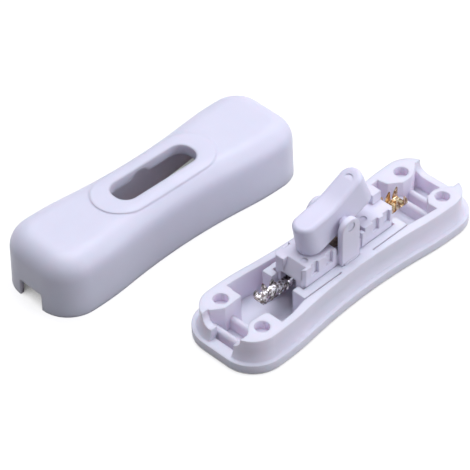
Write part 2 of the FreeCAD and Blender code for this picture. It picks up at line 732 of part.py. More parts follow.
def base_bosses(body):
    """Four bosses, each filled out to its own corner and to the end wall."""
    corner = d.pin_side + d.boss_shift
    fills = {
        "boss_rear_left": (-1, 1, [
            (d.rear_left_x, d.rear_left_y), (d.pin_place, d.channel_half),
            (d.rear_left_slope, d.channel_half), (d.fill_end, d.rear_left_foot)]),
        "boss_front_left": (-1, -1, [
            (d.front_left_x, d.front_left_y), (d.pin_place, d.channel_half),
            (d.front_left_slope, d.channel_half), (d.front_left_bend, d.front_left_foot),
            (d.fill_end, d.front_left_foot)]),
        "boss_rear_right": (1, 1, [
            (d.rear_right_back, corner), (d.rear_right_bend, d.rear_right_turn),
            (d.rear_right_x, d.rear_right_y), (d.rear_right_slope, d.rear_right_y),
            (d.fill_end, d.rear_right_foot)]),
        "boss_front_right": (1, -1, [
            (d.front_right_x, d.front_right_y), (d.front_right_start, d.front_right_front),
            (d.front_right_slope, d.front_right_front), (d.fill_end, d.front_right_foot)]),
    }
    for name, (sx, sy, side) in fills.items():
        boss_block(body, name, sx, sy)
        last = boss_fill(body, name, sx, sy, side)
    doc.recompute()
    corners = [(-d.front_left_x.value, -d.front_left_y.value)]

    def at_corner(edge, middle):
        upright = edge.BoundBox.ZLength > d.grip_height.value
        return upright and any(math.hypot(middle.x - x, middle.y - y) < TOUCH for x, y in corners)

    dress(body, "Fillet", "boss_corner_round", last, edges_where(last, at_corner), d.corner_round)


def base_near_wall(body):
    """The near wall is straight inside, thinner in the middle and thicker beside it."""
    sketch = new_sketch(body, "near_wall_cut_plan", offset=d.rim_height)
    rectangle(sketch, -d.near_wall_half, d.near_wall_half, -d.near_wall, -pocket_side)
    pocket(body, "near_wall_cut", sketch, d.rim_height - d.floor_thick)
    sketch = new_sketch(body, "near_wall_plan", offset=d.floor_thick / 2)
    root = d.near_wall_root
    back = d.near_wall_west_y + root
    polygon(sketch, [(-d.near_wall_west, -back), (-d.near_wall_west, -d.near_wall_west_y),
                     (-d.near_wall_half, -d.near_wall), (d.near_wall_half, -d.near_wall),
                     (d.near_wall_bend, -d.near_wall_bend_y),
                     (d.front_right_x, -d.near_wall_west_y), (d.front_right_x, -back),
                     (ZERO, -d.near_wall - root)])
    pad(body, "near_wall_block", sketch, d.rim_height - d.floor_thick / 2)


def base_pocket(body):
    """Ledges that guide the insert, with slots for its ears, and its home seats."""
    low = d.floor_thick / 2
    rise = d.rim_height - low
    wall_back = d.waist_half - d.rim_inset - d.wall_thick / 2
    for name, near, outer in (("near", -1, d.near_ledge), ("rear", 1, d.rear_ledge)):
        sketch = new_sketch(body, f"{name}_ledge_plan", offset=low)
        points = [(-d.ledge_half, d.shoulder_half), (-d.ledge_half, outer),
                  (-d.ledge_bridge, outer), (-d.ledge_bridge, wall_back),
                  (d.ledge_bridge, wall_back), (d.ledge_bridge, outer),
                  (d.ledge_half, outer), (d.ledge_half, d.shoulder_half),
                  (insert_half + d.pocket_fit, d.shoulder_half),
                  (insert_half + d.pocket_fit, pocket_side),
                  (-insert_half - d.pocket_fit, pocket_side),
                  (-insert_half - d.pocket_fit, d.shoulder_half)]
        polygon(sketch, [(x, y * near) for x, y in points])
        pad(body, f"{name}_ledge", sketch, rise)
        slot = new_sketch(body, f"{name}_ear_slot", offset=d.rim_height)
        ear_slot(slot, near)
        pocket(body, f"{name}_slot", slot, d.rim_height - d.floor_thick)
    seats = new_sketch(body, "seat_plan", offset=low)
    for side in (-1, 1):
        x = d.seat_place * side
        rectangle(seats, x - d.grip_thick, x + d.grip_thick, -pocket_side, pocket_side)
    pad(body, "home_seats", seats, insert_home - low)


def half_saddle(sketch, side, bottom):
    """Half of a cord saddle: a flat bottom that rounds up into a flank."""
    rim = d.rim_height + d.crush_radius
    half = d.saddle_rear if side > 0 else d.saddle_near
    radius = d.saddle_round
    x, y = (half - radius) * side, bottom + radius
    first = -math.pi / 2 if side > 0 else math.pi
    flank = arc(sketch, (x.value, y.value), radius.value, first, first + math.pi / 2)
    edge = half.value * side
    points = [vector(edge, rim.value), vector(NOTHING, rim.value), vector(NOTHING, bottom.value)]
    kinds = ("Vertical", "Horizontal", "Vertical", "Horizontal")
    top = 1
    if side < 0:
        points.reverse()
        kinds = kinds[::-1]
        top = 2
    lines = close_arc(sketch, flank, points, kinds)
    hold_centre(sketch, flank, x, y)
    hold_radius(sketch, flank, radius)
    hold(sketch, "DistanceY", lines[top], START, rim)
    hold(sketch, "DistanceX", lines[3 - top], START, ZERO)


def base_ends(body):
    """Saddles in both end walls and the open gap at the left."""
    inner = half_length - d.rim_inset - d.wall_thick
    for name, end, side, bottom in (("right_near", 1, -1, d.saddle_height),
                                    ("right_rear", 1, 1, d.saddle_height),
                                    ("left_near", -1, -1, d.stub_height),
                                    ("left_rear", -1, 1, d.stub_height)):
        offset = half_length - d.saddle_reach if end > 0 else -half_length
        sketch = new_sketch(body, f"{name}_saddle", "YZ_Plane", offset)
        half_saddle(sketch, side, bottom)
        pocket(body, f"{name}_saddle_cut", sketch, d.saddle_reach, Reversed=True)
    east = d.pocket_fit - inner
    for name, west, bottom in (("end_gap", half_length, d.flange_height),
                               ("gap_foot", d.gap_step, d.floor_thick)):
        sketch = new_sketch(body, f"{name}_plan", offset=d.rim_height)
        rectangle(sketch, -west, east, -d.gap_near, d.gap_rear)
        pocket(body, name, sketch, d.rim_height - bottom)


CRUSH_ANGLES = (-90, 30, 150)


def base_holes(body):
    """Pin holes with three crush ribs each."""
    holes = new_sketch(body, "hole_plan", offset=d.rim_height)
    ribs = new_sketch(body, "crush_plan", offset=d.rim_height - d.pin_depth)
    radius = d.pin_radius + d.pin_fit
    for sx, sy in ((-1, 1), (-1, -1), (1, 1), (1, -1)):
        x, y = d.pin_place * sx, d.pin_side * sy
        circle(holes, x, y, radius)
        for angle in CRUSH_ANGLES:
            way = Size.of(angle)
            circle(ribs, x + radius * cosine(way), y + radius * sine(way), d.crush_radius)
    pocket(body, "pin_holes", holes, d.pin_depth)
    pad(body, "crush_ribs", ribs, d.pin_depth - d.crush_radius * 2)


def make_base():
    body = new_body("base")
    base_shell(body)
    base_grips(body)
    base_bosses(body)
    base_near_wall(body)
    base_pocket(body)
    base_ends(body)
    base_holes(body)
    return body


# Insert body

def make_insert_body():
    body = new_body("insert_body")
    plan = new_sketch(body, "blocks_plan", offset=insert_under)
    rectangle(plan, -insert_half, insert_half, -insert_side, insert_side)
    blocks = pad(body, "blocks", plan, d.insert_height)
    doc.recompute()
    upright = edges_where(blocks, lambda edge, middle: edge.BoundBox.ZLength > TOUCH)
    dress(body, "Chamfer", "block_corners", blocks, upright, d.corner_cut)

    well = new_sketch(body, "well_plan", offset=insert_top)
    rectangle(well, -d.well_west, d.well_east, -d.insert_width, d.insert_width)
    pocket(body, "well", well, d.well_depth)

    # The plane's normal is -Y, so the offset along it is the near side's distance
    end = new_sketch(body, "end_face", "XZ_Plane", d.end_lean_near)
    polygon(end, [(-insert_half, insert_top - d.end_lean_depth),
                  (-insert_half + d.end_lean, insert_top), (-insert_half, insert_top)])
    pocket(body, "leaning_end", end, d.end_lean_near + d.end_lean_rear)

    tower = new_sketch(body, "tower_plan", offset=well_floor)
    rectangle(tower, insert_half - d.tower_length, insert_half,
              -d.tower_near, insert_side - d.corner_cut)
    pad(body, "tower", tower, d.well_depth + d.tower_height)

    insert_ears(body)

    cavity = new_sketch(body, "cavity_plan", offset=insert_under)
    rectangle(cavity, -d.cavity_west, cavity_east, -cavity_side, cavity_side)
    pocket(body, "cavity", cavity, d.insert_height - d.insert_wall, Reversed=True)
    windows = new_sketch(body, "window_plan", offset=insert_under)
    rectangle(windows, -insert_half - d.pocket_fit, insert_half + d.pocket_fit,
              -d.window_half, d.window_half)
    pocket(body, "windows", windows, d.window_height, Reversed=True)

    notches = new_sketch(body, "notch_plan", offset=insert_top)
    for side in (-1, 1):
        for x in (-d.left_far_notch, -d.left_near_notch, d.right_near_notch, d.right_far_notch):
            side_rectangle(notches, side, x - d.notch_width / 2, x + d.notch_width / 2,
                           insert_side - d.notch_depth, insert_side + d.pocket_fit)
    pocket(body, "notches", notches, d.notch_height)
    dimples = new_sketch(body, "dimple_plan", offset=insert_top)
    circle(dimples, -d.dimple_left, -d.dimple_side, d.dimple_radius)
    circle(dimples, d.dimple_right, -d.dimple_side, d.dimple_radius)
    pocket(body, "dimples", dimples, d.dimple_depth)
    return body


def insert_ears(body):
    """Two round-topped ears with axle holes, beads and feet, and a spring finger."""
    foot = insert_under - d.ear_foot
    x = d.pivot_shift
    for name, side in (("near", -1), ("rear", 1)):
        outer = ear_outer(side)
        offset = d.ear_inner if side < 0 else -outer
        face = new_sketch(body, f"{name}_ear_face", "XZ_Plane", offset)
        crown = arc(face, (x.value, crown_z.value), d.ear_radius.value, NOTHING, math.pi)
        feet = [vector(face.getPoint(crown, point).x, foot.value) for point in (END, START)]
        lines = close_arc(face, crown, feet, ("Vertical", "Horizontal", "Vertical"))
        hold_centre(face, crown, x, crown_z)
        hold_radius(face, crown, d.ear_radius)
        hold(face, "DistanceY", lines[1], START, foot)
        pad(body, f"{name}_ear", face, outer - d.ear_inner)
        bead = new_sketch(body, f"{name}_bead_plan", offset=d.rim_height)
        side_rectangle(bead, side, x - d.bead_half, x + d.bead_half,
                       outer - d.bead_depth, outer + d.bead_depth)
        pad(body, f"{name}_bead", bead, d.bead_height)
    hole = new_sketch(body, "axle_hole_face", "XZ_Plane")
    circle(hole, x, pivot_z, d.axle_radius + d.axle_fit)
    pocket(body, "axle_holes", hole, d.near_ear * THROUGH, Midplane=True)
    finger = new_sketch(body, "finger_plan", offset=d.rim_height + d.bead_height)
    half = d.finger_width / 2
    rectangle(finger, d.finger_place - half, d.finger_place + half,
              -insert_side - d.finger_depth + d.pocket_fit, -cavity_side - d.pocket_fit)
    pad(body, "finger", finger, d.finger_height)


def make_insert_floor():
    """The plate that closes the insert, with room for the fixed contact's upset end."""
    body = new_body("insert_floor")
    plan = new_sketch(body, "plate_plan", offset=insert_under)
    side = cavity_side - d.plate_fit
    rectangle(plan, -d.cavity_west + d.plate_fit, cavity_east - d.plate_fit, -side, side)
    pad(body, "plate", plan, d.floor_plate)
    room = new_sketch(body, "upset_room_plan", offset=plate_top)
    circle(room, contact_x, ZERO, upset_radius + d.plate_fit)
    pocket(body, "upset_room", room, d.shank_head + d.plate_fit)
    return body


# Rocker, in its own frame with the pivot at the origin

def tilted(body, angle, x, z):
    """Places a body at the pivot, turned about Y by an angle."""
    body.Placement = FreeCAD.Placement(vector(x.value, NOTHING, z.value),
                                       FreeCAD.Rotation(vector(0, 1, 0), angle.value))
    bind(body, "Placement.Base.x", x)
    bind(body, "Placement.Base.z", z)
    bind(body, "Placement.Rotation.Angle", angle)


def valley_cut(body, lift):
    """Cuts the top to two slopes that meet in a round valley."""
    side = new_sketch(body, "valley_face", "XZ_Plane")
    reach = d.rocker_half * 2
    centre = d.rocker_valley + d.valley_radius
    down, turn = 1.5 * math.pi, math.radians(d.rocker_slope.value)
    dip = arc(side, (NOTHING, centre.value), d.valley_radius.value, down - turn, down + turn)
    corners = [vector(reach.value, lift.value), vector(-reach.value, lift.value)]
    lines = close_arc(side, dip, corners, (None, "Horizontal", None))
    hold_centre(side, dip, ZERO, centre)
    hold_radius(side, dip, d.valley_radius)
    hold(side, "DistanceX", lines[1], START, reach)
    hold(side, "DistanceY", lines[1], START, lift)
    hold(side, "DistanceX", lines[1], END, -reach)
    return pocket(body, "valley", side, d.rocker_side * THROUGH, Midplane=True)


def slope_height(x):
    """Height of the sloping top above the pivot at a distance from it."""
    bend = d.valley_radius * (Size.of(1) - cosine(d.rocker_slope))
    run = x - d.valley_radius * sine(d.rocker_slope)
    return d.rocker_valley + bend + run * tangent(d.rocker_slope)


def make_rocker():
    body = new_body("rocker")
    lift = slope_height(d.rocker_half * 2)
    plan = new_sketch(body, "paddle_plan", offset=-d.rocker_under)
    stadium(plan, d.rocker_half, d.rocker_side)
    paddle = pad(body, "paddle", plan, slope_height(d.rocker_half + TOUCH) + d.rocker_under)
    doc.recompute()
    draft(body, "paddle_draft", paddle, d.rocker_draft)
    valley = valley_cut(body, lift)
    doc.recompute()
    floor = d.rocker_valley.value - TOUCH

    def on_rim(edge, middle):
        across = abs(middle.y) < TOUCH and abs(middle.x) < d.rocker_side.value
        return edge.BoundBox.ZMin > floor and not across

    dress(body, "Fillet", "top_round", valley, edges_where(valley, on_rim), d.rocker_round)

    sleeve = new_sketch(body, "sleeve_plan", offset=-d.sleeve_drop)
    circle(sleeve, ZERO, ZERO, d.sleeve_radius)
    pad(body, "sleeve", sleeve, d.sleeve_drop)
    hub = new_sketch(body, "hub_face", "XZ_Plane")
    circle(hub, ZERO, ZERO, d.hub_radius)
    pad(body, "hubs", hub, (d.ear_inner - d.hub_fit) * 2, Midplane=True)
    axle = new_sketch(body, "axle_face", "XZ_Plane", d.axle_end - d.rear_ear)
    circle(axle, ZERO, ZERO, d.axle_radius)
    pad(body, "axle", axle, d.near_ear + d.rear_ear - d.axle_end * 2)
    bore = new_sketch(body, "bore_plan", offset=-d.sleeve_drop)
    circle(bore, ZERO, ZERO, d.plunger_radius + d.plunger_fit)
    pocket(body, "bore", bore, d.sleeve_drop + d.bore_top, Reversed=True)
    mark = new_sketch(body, "mark_plan", offset=lift)
    circle(mark, d.mark_place, ZERO, d.mark_radius)
    pocket(body, "mark", mark, lift - slope_height(d.mark_place) + d.mark_depth)
    tilted(body, -d.rocker_tilt, d.pivot_shift, pivot_z)
    return body


def make_plunger():
    """A turned pin with a rounded tip, below the pivot."""
    body = new_body("plunger")
    face = new_sketch(body, "half_section", "XZ_Plane")
    bottom = d.tip_radius - d.plunger_drop
    centre = (NOTHING, bottom.value)
    tip = arc(face, centre, d.tip_radius.value, -math.pi / 2, 0)
    low, edge = face.getPoint(tip, START), face.getPoint(tip, END)
    neck = bottom + d.tip_radius * 2
    points = [edge, vector(d.tip_radius.value, neck.value), vector(d.plunger_radius.value, neck.value),
              vector(d.plunger_radius.value, -d.plunger_head.value),
              vector(NOTHING, -d.plunger_head.value), low]
    lines = [face.addGeometry(Part.LineSegment(points[i], points[i + 1]), False) for i in range(5)]
    join(face, (tip, END, lines[0], START))
    for one, two in zip(lines, lines[1:]):
        face.addConstraint(Sketcher.Constraint("Coincident", one, END, two, START))
    face.addConstraint(Sketcher.Constraint("Coincident", lines[4], END, tip, START))
    for kind, line in zip(("Vertical", "Horizontal", "Vertical", "Horizontal", "Vertical"), lines):
        face.addConstraint(Sketcher.Constraint(kind, line))
    hold(face, "DistanceX", tip, CENTRE, ZERO)
    hold(face, "DistanceY", tip, CENTRE, bottom)
    hold_radius(face, tip, d.tip_radius)
    hold(face, "DistanceY", lines[1], START, neck)
    hold(face, "DistanceX", lines[2], START, d.plunger_radius)
    hold(face, "DistanceY", lines[3], START, -d.plunger_head)
    hold(face, "DistanceX", lines[4], START, ZERO)
    turned = body.newObject("PartDesign::Revolution", "pin")
    turned.Profile = face
    turned.ReferenceAxis = (face, ["V_Axis"])
    turned.Angle = 360.0
    tilted(body, -d.rocker_tilt, d.pivot_shift, pivot_z)
    return body


def make_plunger_spring():
    """A coil between the plunger and the end of its bore."""
    path = doc.addObject("Part::Helix", "spring_path")
    start = d.spring_wire + d.spring_fit - d.plunger_head
    bind(path, "Pitch", d.spring_pitch)
    bind(path, "Height", d.bore_top + d.plunger_head - (d.spring_wire + d.spring_fit) * 2)
    bind(path, "Radius", d.spring_radius)
    tilted(path, -d.rocker_tilt, d.pivot_shift + start * sine(-d.rocker_tilt),
           pivot_z + start * cosine(d.rocker_tilt))
    wire = doc.addObject("Part::Circle", "spring_section")
    bind(wire, "Radius", d.spring_wire)
    across = FreeCAD.Rotation(vector(0, 1, 0), -d.rocker_tilt.value)
    section = across.multiply(FreeCAD.Rotation(vector(1, 0, 0), 90))
    out = across.multVec(vector(d.spring_radius.value, NOTHING, start.value))
    wire.Placement = FreeCAD.Placement(out + vector(d.pivot_shift.value, NOTHING, pivot_z.value),
                                       section)
    bind(wire, "Placement.Base.x", d.pivot_shift + d.spring_radius * cosine(d.rocker_tilt)
         + start * sine(-d.rocker_tilt))
    bind(wire, "Placement.Base.z", pivot_z + d.spring_radius * sine(d.rocker_tilt)
         + start * cosine(d.rocker_tilt))
    coil = doc.addObject("Part::Sweep", "plunger_spring")
    coil.Label = "plunger_spring"
    coil.Sections = [wire]
    coil.Spine = (path, [])
    coil.Solid = True
    coil.Frenet = True
    return coil


# Contacts

def make_rocking_contact():
    """A strip with a dished middle, in the frame of its fulcrum."""
    body = new_body("rocking_contact")
    face = new_sketch(body, "strip_face", "XZ_Plane")
    up = pivot_z - fulcrum_top
    upper, lower = dish_radius, dish_radius + d.strip_thick
    angle = math.radians(d.strip_dish.value)
    down = 1.5 * math.pi
    top = arc(face, (NOTHING, up.value), upper.value, down - angle, down + angle)
    under = arc(face, (NOTHING, up.value), lower.value, down - angle, down + angle)
    top_left, top_right = face.getPoint(top, START), face.getPoint(top, END)
    low_left, low_right = face.getPoint(under, START), face.getPoint(under, END)
    west, east = -d.strip_west.value, d.strip_east.value
    chains = [[top_right, vector(east, top_right.y), vector(east, low_right.y), low_right],
              [top_left, vector(west, top_left.y), vector(west, low_left.y), low_left]]
    reach_top, reach_low = upper * sine(d.strip_dish), lower * sine(d.strip_dish)
    drop_top = up - upper * cosine(d.strip_dish)
    drop_low = up - lower * cosine(d.strip_dish)
    for chain, side, point, tip in ((chains[0], 1, END, d.strip_east),
                                    (chains[1], -1, START, d.strip_west)):
        lines = [face.addGeometry(Part.LineSegment(chain[i], chain[i + 1]), False)
                 for i in range(3)]
        ties = [(top, point, lines[0], START), (lines[0], END, lines[1], START),
                (lines[1], END, lines[2], START), (lines[2], END, under, point)]
        for tie in ties:
            face.addConstraint(Sketcher.Constraint("Coincident", *tie))
        for kind, line in zip(("Horizontal", "Vertical", "Horizontal"), lines):
            face.addConstraint(Sketcher.Constraint(kind, line))
        hold(face, "DistanceX", lines[0], START, reach_top * side)
        hold(face, "DistanceX", lines[1], START, tip * side)
        hold(face, "DistanceX", lines[2], END, reach_low * side)
    for index, radius in ((top, upper), (under, lower)):
        hold(face, "DistanceX", index, CENTRE, ZERO)
        hold(face, "DistanceY", index, CENTRE, up)
        hold_radius(face, index, radius)
    pad(body, "strip", face, d.strip_half * 2, Midplane=True)
    hole = new_sketch(body, "shank_hole", offset=drop_top + d.strip_thick)
    circle(hole, d.contact_arm, ZERO, d.shank_radius + d.shank_fit)
    pocket(body, "hole", hole, d.strip_thick * THROUGH)
    tilted(body, d.strip_tilt, d.pivot_shift, fulcrum_top)
    return body


def rivet(body, x, under, thickness, head, inward):
    """A contact head on one face of a strip, its shank through it and an upset end."""
    top = under + thickness
    if inward < 0:
        head_low, end_low = under - head, top
    else:
        head_low, end_low = top, under - d.shank_head
    shank = new_sketch(body, "shank_plan", offset=under - d.shank_fit)
    circle(shank, x, ZERO, d.shank_radius)
    pad(body, "shank", shank, thickness + d.shank_fit * 2)
    face = new_sketch(body, "head_plan", offset=head_low)
    circle(face, x, ZERO, d.contact_radius)
    disc = pad(body, "head", face, head)
    doc.recompute()
    meeting = head_low if inward < 0 else head_low + head
    crown = edges_where(disc, lambda edge, middle: level(meeting)(edge, middle)
                        and edge.Length > 2 * math.pi * d.shank_radius.value + TOUCH)
    dress(body, "Fillet", "head_round", disc, crown, d.shank_radius / 2)
    upset = new_sketch(body, "upset_plan", offset=end_low)
    circle(upset, x, ZERO, upset_radius)
    pad(body, "upset", upset, d.shank_head)


def make_moving_contact():
    body = new_body("moving_contact")
    low = pivot_z - fulcrum_top - (dish_radius + d.strip_thick) * cosine(d.strip_dish)
    high = pivot_z - fulcrum_top - dish_radius * cosine(d.strip_dish)
    rivet(body, d.contact_arm, low, high - low, d.contact_height, -1)
    tilted(body, d.strip_tilt, d.pivot_shift, fulcrum_top)
    return body


def fixed_head_height():
    """Room from the load terminal up to the moving contact, less the gap."""
    low = pivot_z - fulcrum_top - (dish_radius + d.strip_thick) * cosine(d.strip_dish)
    face = (low - d.contact_height) * cosine(d.strip_tilt)
    drop = (d.contact_arm + d.contact_radius) * sine(d.strip_tilt)
    closed = fulcrum_top + face - drop
    return closed - d.contact_gap - plate_top - d.terminal_thick


def make_fixed_contact():
    body = new_body("fixed_contact")
    rivet(body, contact_x, plate_top, d.terminal_thick, fixed_head_height(), 1)
    return body


# Terminals

CLAW_PAIRS = 3


def claws(body, side, start, height):
    """Pointed claws along both edges of a crimp barrel."""
    root = plate_top
    tip = root + d.terminal_thick + height
    neck = root + d.terminal_thick + height * d.claw_neck
    for name, y in (("near", d.barrel_half - d.claw_thick), ("rear", -d.barrel_half)):
        face = new_sketch(body, f"{name}_claw_face", "XZ_Plane", y)
        for index in range(CLAW_PAIRS):
            x = (start + d.claw_width / 2 + d.claw_pitch * index) * side
            half = d.claw_width / 2
            polygon(face, [(x - half, root), (x + half, root), (x + half, neck), (x, tip),
                           (x - half, neck)])
        pad(body, f"{name}_claws", face, d.claw_thick)


def terminal(body, side, inner, start, height):
    """A strip on the insert floor with a crimp barrel outside."""
    plan = new_sketch(body, "strip_plan", offset=plate_top)
    neck = start - d.claw_width / 2
    end = start + d.claw_width + d.claw_pitch * (CLAW_PAIRS - 1)
    wide, slim = d.terminal_half, d.barrel_half
    points = [(inner, -wide), (neck * side, -wide), (start * side, -slim),
              (end * side, -slim), (end * side, slim), (start * side, slim),
              (neck * side, wide), (inner, wide)]
    polygon(plan, points)
    pad(body, "strip", plan, d.terminal_thick)
    claws(body, side, start, height)


def make_line_terminal():
    """Carries the fulcrum that the strip rocks on."""
    body = new_body("line_terminal")
    half = d.fulcrum_thick / 2
    terminal(body, -1, d.pivot_shift + half, d.left_barrel, d.left_claw)
    tab = new_sketch(body, "fulcrum_face", "XZ_Plane")
    x = d.pivot_shift
    polygon(tab, [(x - half, plate_top), (x + half, plate_top),
                  (x + half, fulcrum_top - half), (x, fulcrum_top), (x - half, fulcrum_top - half)])
    pad(body, "fulcrum", tab, d.terminal_half * 2, Midplane=True)
    return body


def make_load_terminal():
    """Carries the fixed contact."""
    body = new_body("load_terminal")
    terminal(body, 1, contact_x - d.contact_radius - d.contact_margin, d.right_barrel, d.right_claw)
    hole = new_sketch(body, "shank_hole", offset=plate_top + d.terminal_thick)
    circle(hole, contact_x, ZERO, d.shank_radius + d.shank_fit)
    pocket(body, "hole", hole, d.terminal_thick * THROUGH)
    return body


# Cover, in its own frame with the middle of its rim at the origin

def cover_form(body, inset, height, inward, top_round):
    """A leaning form over the inset outline with a rounded top edge."""
    plan = new_sketch(body, "form_plan")
    outline(plan, inset)
    form = pad(body, "form", plan, height)
    doc.recompute()
    form = draft(body, "form_draft", form, lean(inward, height))
    doc.recompute()
    top = edges_where(form, level(height))
    dress(body, "Fillet", "top_round", form, top, top_round)


def make_raised_oval():
    """The slightly raised oval round the slot, following the curve of the top."""
    body = new_body("raised_oval")
    grow = d.raised_height
    cover_form(body, -grow, d.cover_height + grow, d.cover_draft, d.cover_round + grow)
    trim = new_sketch(body, "oval_plan", offset=d.cover_height + d.cover_round)
    stadium(trim, d.raised_half, d.raised_side)
    rectangle(trim, -d.body_length, d.body_length, -d.body_length, d.body_length)
    pocket(body, "oval_trim", trim, d.cover_height + d.cover_round * 2)
    hollow = new_sketch(body, "oval_under", offset=ZERO)
    rectangle(hollow, -d.body_length, d.body_length, -d.body_length, d.body_length)
    pocket(body, "oval_hollow", hollow, d.cover_height - d.cover_top, Reversed=True)
    return body


def make_hollow():
    """The hollow of the cover, as a form to cut away."""
    body = new_body("cover_hollow")
    thicker = d.cover_wall_top - d.cover_wall
    cover_form(body, d.cover_wall, d.cover_height - d.cover_top, d.cover_draft + thicker,
               d.cover_round - d.cover_wall_top)
    return body


def cover_inside(body):
    """Collar of the slot, pins, and the bars that press the cord."""
    inside = d.cover_height - d.cover_top / 2
    low = d.cover_height - d.cover_top - d.collar_drop
    collar = new_sketch(body, "collar_plan", offset=low)
    rounded_slot(collar, ZERO, d.slot_shift, d.slot_half + d.collar_wall,
                 d.slot_side + d.collar_wall, d.slot_round + d.collar_wall)
    pad(body, "slot_collar", collar, inside - low)
    pins = new_sketch(body, "pin_plan", offset=d.pin_tip)
    for sx, sy in ((-1, 1), (-1, -1), (1, 1), (1, -1)):
        circle(pins, d.pin_place * sx, d.pin_side * sy, d.pin_radius)
    pad(body, "pins", pins, inside - d.pin_tip)
    bars = new_sketch(body, "bar_plan", offset=d.grip_height + d.cord_room - d.flange_height)
    half = d.cord_bar / 2
    for x in (-(d.left_outer_grip + d.left_inner_grip) / 2,
              (d.right_outer_grip + d.right_inner_grip) / 2):
        rectangle(bars, x - half, x + half, d.entry_round - d.channel_half,
                  d.channel_half - d.entry_round)
    pad(body, "cord_bars", bars, inside - (d.grip_height + d.cord_room - d.flange_height))


def cover_openings(body):
    """Rocker slot, room for the ears under the top, and a cord notch at each end."""
    slot = new_sketch(body, "slot_plan", offset=d.cover_height + d.cover_round)
    rounded_slot(slot, ZERO, d.slot_shift, d.slot_half, d.slot_side, d.slot_round)
    pocket(body, "slot", slot, d.cover_round + d.cover_top * 2)
    arch = new_sketch(body, "ear_arch", "XZ_Plane")
    home = crown_z - d.insert_lift - d.flange_height + d.arch_rise
    x, radius = d.pivot_shift, d.ear_radius + d.arch_fit
    crown = arc(arch, (x.value, home.value), radius.value, NOTHING, math.pi)
    base_line, = close_arc(arch, crown, [], ("Horizontal",), "Coincident")
    arch.addConstraint(Sketcher.Constraint("PointOnObject", crown, CENTRE, base_line))
    hold_centre(arch, crown, x, home)
    hold_radius(arch, crown, radius)
    pocket(body, "ear_room", arch, (d.near_ear + d.arch_depth) * 2, Midplane=True)
    for name, offset in (("left", -half_length - d.cover_wall), ("right", half_length - d.cover_wall * 2)):
        face = new_sketch(body, f"{name}_entry_face", "YZ_Plane", offset)
        rounded_slot(face, ZERO, ZERO, d.entry_half, d.entry_height, d.entry_round)
        pocket(body, f"{name}_entry", face, d.cover_wall * THROUGH, Reversed=True)


def make_cover(oval, hollow):
    body = new_body("cover")
    cover_form(body, ZERO, d.cover_height, d.cover_draft, d.cover_round)
    for name, kind, tool in (("with_oval", "Fuse", oval), ("hollowed", "Cut", hollow)):
        joined = body.newObject("PartDesign::Boolean", name)
        joined.Type = kind
        joined.setObjects([tool])
    cover_inside(body)
    cover_openings(body)
    body.Placement = FreeCAD.Placement(vector(d.cover_x.value, d.cover_y.value),
                                       FreeCAD.Rotation(UP, d.cover_turn.value))
    bind(body, "Placement.Base.x", d.cover_x)
    bind(body, "Placement.Base.y", d.cover_y)
    bind(body, "Placement.Rotation.Angle", d.cover_turn)
    return body


def check_document():
    doc.recompute()
    for item in doc.Objects:
        if "Invalid" in item.State or "Error" in item.State:
            raise RuntimeError(f"{item.Name} failed: {item.State}")


def write(parts):
    os.makedirs("parts", exist_ok=True)
    for item in parts:
        shape = item.Shape
        if shape.isNull() or not shape.isValid() or not shape.Solids:
            raise RuntimeError(f"{item.Label} is not a valid solid")
        shape.exportStep(os.path.join("parts", f"{item.Label}.step"))
        print(item.Label, "solids", len(shape.Solids), "volume", round(shape.Volume, 2))


PIECES = [
    make_base(),
    make_insert_body(),
    make_insert_floor(),
    make_rocker(),
    make_plunger(),
    make_plunger_spring(),
    make_rocking_contact(),
    make_moving_contact(),
    make_fixed_contact(),
    make_line_terminal(),
    make_load_terminal(),
    make_cover(make_raised_oval(), make_hollow()),
]
check_document()
write(PIECES)
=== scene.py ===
import bmesh
import bpy
import math
from mathutils import Matrix, Vector


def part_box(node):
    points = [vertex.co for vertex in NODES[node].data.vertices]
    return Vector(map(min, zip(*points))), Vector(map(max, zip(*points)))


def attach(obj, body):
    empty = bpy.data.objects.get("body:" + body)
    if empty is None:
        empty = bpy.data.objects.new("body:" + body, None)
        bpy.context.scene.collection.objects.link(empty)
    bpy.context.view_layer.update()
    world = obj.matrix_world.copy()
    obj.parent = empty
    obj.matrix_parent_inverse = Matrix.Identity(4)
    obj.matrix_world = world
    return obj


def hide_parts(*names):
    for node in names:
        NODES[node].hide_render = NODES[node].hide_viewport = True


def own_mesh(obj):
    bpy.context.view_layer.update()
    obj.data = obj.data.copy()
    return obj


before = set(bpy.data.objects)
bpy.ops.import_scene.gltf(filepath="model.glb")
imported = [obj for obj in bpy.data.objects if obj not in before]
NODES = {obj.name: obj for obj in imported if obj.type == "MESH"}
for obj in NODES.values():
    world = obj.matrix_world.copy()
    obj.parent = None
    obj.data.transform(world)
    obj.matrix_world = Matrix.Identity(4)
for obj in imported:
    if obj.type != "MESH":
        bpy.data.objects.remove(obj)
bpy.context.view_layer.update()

# Camera, fitted to the photograph

LENS = 178.735
TURN = 0.7724
PITCH = 0.7321
ROLL = -0.025
DISTANCE = 0.59545
TARGET = Vector((-0.0068924, 0.0279749, 0.0))
SENSOR = 36
CLIP_START = 0.01
CLIP_END = 20


